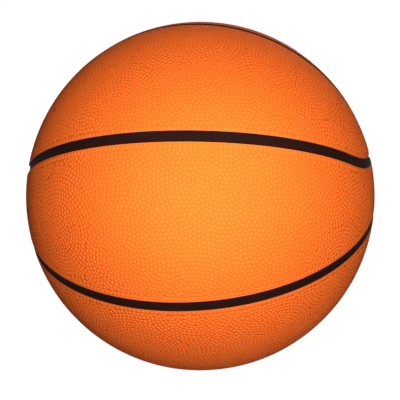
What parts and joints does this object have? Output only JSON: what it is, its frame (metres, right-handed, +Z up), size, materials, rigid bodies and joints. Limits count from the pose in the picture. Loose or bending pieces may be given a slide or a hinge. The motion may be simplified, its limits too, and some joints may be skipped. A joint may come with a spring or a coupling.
{
  "type": "basketball",
  "caption": "Moulded rubber basketball with a pebbled orange cover, deep black channels and an inflation valve.",
  "frame": {"origin": "centre of the ball", "axes": "+Z up, through the middle of the panels inside the top oval; the equator channel lies in the XY plane and the upright channel in the XZ plane; the ovals are long along X; the valve is on the -X -Y +Z side"},
  "size_m": [0.2398, 0.24, 0.24],
  "materials": {
    "cover_rubber": "satin",
    "inlay_rubber": "satin",
    "carcass_rubber": "matte",
    "winding_thread": "matte",
    "bladder_rubber": "satin",
    "boot_rubber": "matte",
    "patch_cloth": "matte",
    "valve_rubber": "satin"
  },
  "bodies": {
    "root": {"bladder": "bladder_rubber", "winding": "winding_thread", "carcass": "carcass_rubber", "valve_boot": "boot_rubber", "valve_patch": "patch_cloth", "valve_core": "valve_rubber", "equator_strip": "inlay_rubber", "top_oval_strip": "inlay_rubber", "bottom_oval_strip": "inlay_rubber", "top_cross_strip": "inlay_rubber", "bottom_cross_strip": "inlay_rubber", "upper_left_strip": "inlay_rubber", "upper_right_strip": "inlay_rubber", "lower_left_strip": "inlay_rubber", "lower_right_strip": "inlay_rubber", "top_front_panel": "cover_rubber", "top_back_panel": "cover_rubber", "bottom_front_panel": "cover_rubber", "bottom_back_panel": "cover_rubber", "upper_front_panel": "cover_rubber", "upper_back_panel": "cover_rubber", "lower_front_panel": "cover_rubber", "lower_back_panel": "cover_rubber"}
  },
  "joints": []
}
